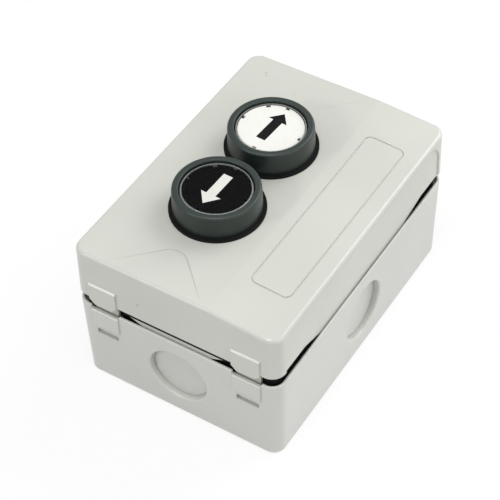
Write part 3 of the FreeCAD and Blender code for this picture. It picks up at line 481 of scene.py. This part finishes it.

# %% [markdown]
# ## Painted shadow beads and gate marks
# Under the lid's edge at the near end a thin dark line of shade lies above the skirt. A thin
# black bead in the rubber material stands there as painted shadow, and the far end, which
# isn't seen, gets one too. Each is an elliptic bead laid along the skirt, thinning to a point
# at its ends. The lid also shows small round marks, taken for the ones left where plastic is
# let into a mould; each is a very low dome.


# %% Closed surfaces from rows of points
def surface(name, rows, material, body):
    """A closed surface: row 0 and the last row are poles, the others are rings of points."""
    count, around = rows.shape[0] - 2, rows.shape[1]
    points = np.vstack([rows[0, :1], rows[1:-1].reshape(-1, 3), rows[-1, :1]])
    ring = np.arange(around)
    following = np.roll(ring, -1)
    near = 1 + (np.arange(count - 1) * around)[:, None]
    quads = np.stack([near + ring, near + following, near + around + following, near + around + ring])
    quads = np.moveaxis(quads, 0, -1).reshape(-1, 4)
    last = 1 + (count - 1) * around
    caps = np.column_stack([np.zeros(around, int), 1 + following, 1 + ring])
    ends = np.column_stack([np.full(around, len(points) - 1), last + ring, last + following])
    mesh = bpy.data.meshes.new(name)
    mesh.from_pydata(points.tolist(), [], [*quads.tolist(), *caps.tolist(), *ends.tolist()])
    mesh.materials.append(material)
    mesh.shade_smooth()
    piece = bpy.data.objects.new(name, mesh)
    bpy.context.scene.collection.objects.link(piece)
    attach(piece, body)
    print(name, "points", len(points))
    return piece


# %% Painted shadow beads along the skirts
ENDS = {"far": 1, "near": -1}
SKIRT_FACE = 56.8  # Outer face of the end skirts, in mm from the middle of the box
SHADOW_BEAD = {"half": 20.5, "level": 38.75, "depth": 0.3, "height": 1.5}  # In mm
BEAD_STEPS, BEAD_AROUND = 61, 16
TAPER = 12  # The higher, the later a bead thins towards its ends


# Painted shadow: a black bead where the lid's overhang throws shade on the skirt
def painted_shadow_bead(end, half, level, depth, height):
    """Bead along X: x = half * s, its ellipse scaled by (1 - |s| ** TAPER) ** 0.5, s in [-1, 1]."""
    side = ENDS[end]
    skirt = side * SKIRT_FACE * MM
    s = np.sin(np.linspace(-np.pi / 2, np.pi / 2, BEAD_STEPS))
    girth = np.sqrt(np.clip(1 - np.abs(s) ** TAPER, 0, 1))
    angle = np.linspace(0, 2 * np.pi, BEAD_AROUND, endpoint=False)
    rows = np.zeros((BEAD_STEPS, BEAD_AROUND, 3))
    rows[..., 0] = (half * MM * s)[:, None]
    rows[..., 1] = skirt + side * np.outer(girth, np.cos(angle)) * depth * MM
    rows[..., 2] = level * MM + np.outer(girth, np.sin(angle)) * height * MM / 2 * side
    return surface(end + "_painted_shadow_bead", rows, rubber, "lid")


for end in ENDS:
    painted_shadow_bead(end, **SHADOW_BEAD)

# %% Low domes on the lid
DOME_STEPS, DOME_AROUND, DOME_END = 8, 20, 100  # The end in degrees, a little past the rim
# Centre in mm, axis, then radius and height in mm
GATE_MARKS = {
    "gate_mark_top": ((-28.7, 49.2, 60.7), (0, 0, 1), 1.1, 0.15),
    "gate_mark_near": ((-14.1, -58.0, 47.4), (0, -1, 0), 0.55, 0.25),
}


def gate_mark(name, centre, out, radius, height):
    """Low dome: r = radius * sin(a), h = height * cos(a), for a from 0 to DOME_END, h never
    under -height / 2, closed below. `out` is the axis that it stands up along. In mm."""
    out = Vector(out)
    across = out.orthogonal().normalized()
    turned = np.array([across, out.cross(across), out])
    rise = np.radians(np.append(np.linspace(0, DOME_END, DOME_STEPS), 180))
    angle = np.linspace(0, 2 * np.pi, DOME_AROUND, endpoint=False)
    flat = radius * np.sin(rise) * (rise < np.pi)
    rows = np.zeros((len(rise), DOME_AROUND, 3))
    rows[..., 0], rows[..., 1] = np.outer(flat, np.cos(angle)), np.outer(flat, np.sin(angle))
    rows[..., 2] = np.maximum(height * np.cos(rise), -height / 2)[:, None]
    return surface(name, (rows @ turned + centre)[::-1] * MM, lid_abs, "lid")


for name, mark in GATE_MARKS.items():
    gate_mark(name, *mark)

# %% [markdown]
# ## Springs drawn again
# Each spring stands between a part that stays and its button, so it must shorten by the travel
# as the button goes in. A CAD node keeps its shape at every pose, so the scene draws each
# spring again in the same place, as a round wire along a helix. With rise = height - 2 wire,
# the helix is:
#
#     x = R cos(t), y = R sin(t), z = foot + wire + rise * t / (2 pi * turns)


# %% Helical springs
STEPS_PER_TURN, WIRE_AROUND = 30, 12
SPRINGS = {
    "return_spring": {"radius": 7.6, "wire": 0.5, "turns": 5},
    "contact_spring": {"radius": 2.4, "wire": 0.3, "turns": 5},
}


def coil(which, kind, radius, wire, turns):
    """Helix of `radius` with a round wire of radius `wire`, in mm. At each step a ring of points
    stands across the helix: centre + wire * (cos(a) * outward + sin(a) * upward)."""
    node = which + "_" + kind
    low, high = (np.array(corner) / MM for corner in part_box(node))
    foot = np.array([*legend_place(which)[:2] / MM, low[2]])
    height = high[2] - low[2]
    rise = height - 2 * wire
    t = np.linspace(0, 2 * np.pi * turns, STEPS_PER_TURN * turns + 1)
    flat = np.zeros_like(t)
    line = np.column_stack([radius * np.cos(t), radius * np.sin(t), rise * t / t[-1]])
    line += foot + [0, 0, wire]
    outward = np.column_stack([np.cos(t), np.sin(t), flat])
    along = np.column_stack([-np.sin(t), np.cos(t), flat + rise / t[-1] / radius])
    along /= np.linalg.norm(along, axis=1)[:, None]
    upward = np.cross(along, outward)
    a = np.linspace(0, 2 * np.pi, WIRE_AROUND, endpoint=False)[None, :, None]
    rings = line[:, None] + wire * (np.cos(a) * outward[:, None] + np.sin(a) * upward[:, None])
    first, last = (np.repeat(line[i][None, None], WIRE_AROUND, axis=1) for i in (0, -1))
    rows = np.concatenate([first, rings, last]) * MM
    piece = surface(node + "_wire", rows, spring_wire, "lid")
    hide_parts(node)
    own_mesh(piece)


for which in BUTTONS:
    for kind, size in SPRINGS.items():
        coil(which, kind, **size)

# %% [markdown]
# ## Studio: pale floor and soft light
# The floor is a large plane just under the wall face. Camera rays see it as white through
# Light Path, and the object's own shadow stays. The world and three area lamps, from above,
# from the right and from the far side, give the soft, nearly shadowless light of a product
# photo. A small lamp at the near left draws the bright line along the near edge. Their
# strengths were set against the photo.


# %% Floor
GLOW_SHARE = 0.8  # Of the white that the camera sees; the rest is paper, which takes shadow
FLOOR_HALF, FLOOR_DROP = 20.0, 0.0002  # In metres


def pale_floor():
    """White to the camera and in reflections, greyer in the light it throws back."""
    material, tree, shader = new_material("studio_floor_paper")
    path = add_node(tree, "ShaderNodeLightPath")
    paper = spread(tree, path.outputs["Is Camera Ray"], 0, 1, linear("#d4d4d4"), linear("#ffffff"))
    tree.links.new(paper, shader.inputs["Base Color"])
    shader.inputs["Roughness"].default_value = 0.9
    glow = add_node(tree, "ShaderNodeEmission", [("Color", linear("#ffffff")), ("Strength", 1.0)])
    mirrored = add_node(
        tree,
        "ShaderNodeMath",
        [(0, path.outputs["Is Glossy Ray"]), (1, path.outputs["Is Transmission Ray"])],
        operation="MAXIMUM",
    )
    seen = add_node(
        tree,
        "ShaderNodeMath",
        [(0, path.outputs["Is Camera Ray"]), (1, mirrored.outputs[0])],
        operation="MAXIMUM",
    )
    share = add_node(
        tree, "ShaderNodeMath", [(0, seen.outputs[0]), (1, GLOW_SHARE)], operation="MULTIPLY"
    )
    mix = add_node(
        tree,
        "ShaderNodeMixShader",
        [(0, share.outputs[0]), (1, shader.outputs["BSDF"]), (2, glow.outputs["Emission"])],
    )
    output = next(node for node in tree.nodes if node.type == "OUTPUT_MATERIAL")
    tree.links.new(mix.outputs["Shader"], output.inputs["Surface"])
    return material


def floor_plane():
    mesh = bpy.data.meshes.new("studio_floor")
    corners = np.array([[-1, -1], [1, -1], [1, 1], [-1, 1]]) * FLOOR_HALF
    points = np.column_stack([corners, np.full(4, -FLOOR_DROP)])
    mesh.from_pydata(points.tolist(), [], [[0, 1, 2, 3]])
    mesh.materials.append(pale_floor())
    floor = bpy.data.objects.new("studio_floor", mesh)
    bpy.context.scene.collection.objects.link(floor)
    print("floor", 2 * FLOOR_HALF, "m square")


floor_plane()

# %% World and lamps
world = bpy.data.worlds.new("studio_world")
world.use_nodes = True
bpy.context.scene.world = world
background = world.node_tree.nodes["Background"]
background.inputs["Color"].default_value = linear("#ffffff")
background.inputs["Strength"].default_value = 0.46


def lamp(name, place, aim, size, power):
    """A square area lamp at `place` that faces `aim`, sizes in metres and power in watts."""
    data = bpy.data.lights.new(name, "AREA")
    data.shape, data.size, data.energy = "SQUARE", size, power
    holder = bpy.data.objects.new(name, data)
    holder.location = place
    holder.rotation_mode = "QUATERNION"
    holder.rotation_quaternion = (Vector(aim) - Vector(place)).to_track_quat("-Z", "Y")
    bpy.context.scene.collection.objects.link(holder)
    print(name, "at", place, "m,", power, "W")


lamp("overhead_softbox", (0.05, -0.2, 0.97), (0, 0, 0.05), 0.3, 2.8)
lamp("right_softbox", (0.95, -0.1, 0.3), (0, 0, 0.03), 0.7, 1.8)
lamp("far_softbox", (0.36, 0.78, 0.7), (0, 0, 0.05), 0.7, 5.1)
lamp("edge_light", (-0.37, -0.72, 0.56), (0, 0, 0.05), 0.15, 1.4)

# %% [markdown]
# ## The camera of the photo
# The camera was solved from the box's edges: a place given by azimuth, elevation and
# distance from a point in the box, a small sideways shift of the aim, and a slight roll.

# %% Camera
PHOTO = {"azimuth": 33.368, "elevation": 46.891, "roll": -2.086, "distance": 580.4}
AIM = {"height": 25.0, "right": -5.862, "up": 2.172}
FOCAL_PIXELS, FRAME_PIXELS, SENSOR = 1636.5, 500, 36.0


def photo_axes():
    """Unit vectors right, up and back of the camera. Back points from the aim to the camera;
    right and up are turned about it by the roll."""
    a, e, roll = (math.radians(PHOTO[key]) for key in ("azimuth", "elevation", "roll"))
    back = np.array([math.sin(a) * math.cos(e), -math.cos(a) * math.cos(e), math.sin(e)])
    level = np.array([math.cos(a), math.sin(a), 0.0])
    upright = np.cross(back, level)
    right = level * math.cos(roll) + upright * math.sin(roll)
    return right, np.cross(back, right), back


def photo_camera():
    right, up, back = photo_axes()
    aim = np.array([0, 0, AIM["height"]]) + right * AIM["right"] + up * AIM["up"]
    eye = (aim + back * PHOTO["distance"]) * MM
    data = bpy.data.cameras.new("photo_camera")
    data.sensor_width = SENSOR
    data.lens = FOCAL_PIXELS / FRAME_PIXELS * SENSOR
    data.clip_start, data.clip_end = 0.01, 100
    camera = bpy.data.objects.new("photo_camera", data)
    turned = Matrix(np.column_stack([right, up, back]).tolist())
    camera.matrix_world = Matrix.Translation(Vector(eye)) @ turned.to_4x4()
    bpy.context.scene.collection.objects.link(camera)
    bpy.context.scene.camera = camera
    print("camera at", np.round(eye, 4), "m, lens", round(data.lens, 1), "mm")


photo_camera()

# %% View transform
bpy.context.scene.view_settings.view_transform = "Standard"
